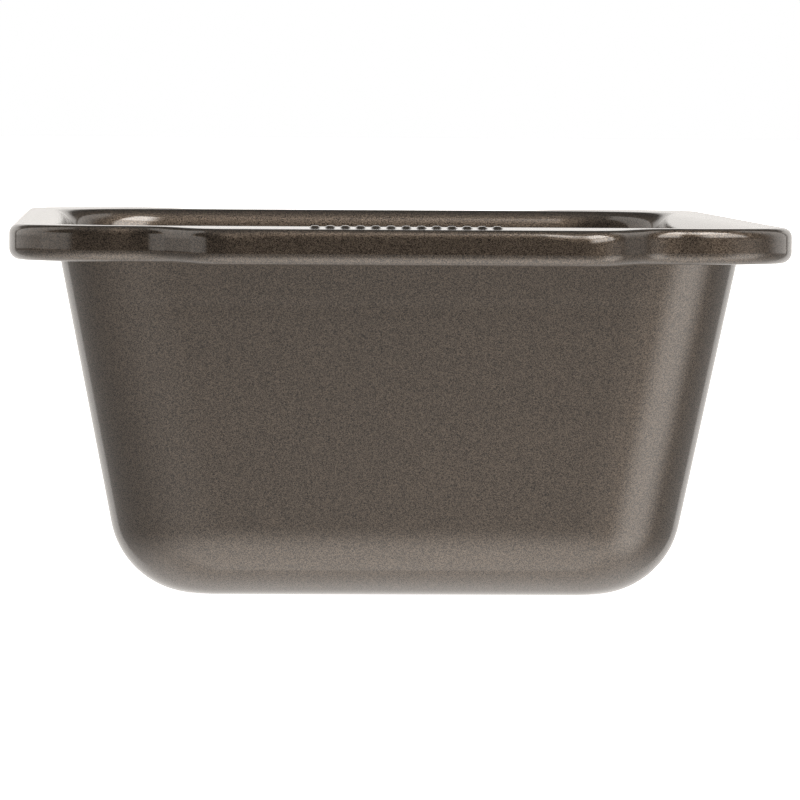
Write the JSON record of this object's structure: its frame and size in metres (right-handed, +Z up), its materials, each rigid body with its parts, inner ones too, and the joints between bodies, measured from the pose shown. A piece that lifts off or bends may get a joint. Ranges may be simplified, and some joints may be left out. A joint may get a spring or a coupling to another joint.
{
  "type": "loaf pan",
  "caption": "Deep rectangular baking pan with leaning walls, rounded corners, a rolled wire-stiffened rim and a flat grip tab at each end.",
  "frame": {"origin": "middle of the flat underside of the base", "axes": "+X across the pan, +Y along the pan towards the tab without beads, +Z up out of the mouth"},
  "size_m": [0.152, 0.279, 0.0733],
  "materials": {
    "nonstick_coating": "satin warm grey-brown nonstick coating with fine metallic flake",
    "plain_wire": "plain drawn steel wire"
  },
  "bodies": {
    "root": {"pan_shell": "nonstick_coating", "rim_wire": "plain_wire"}
  },
  "joints": []
}
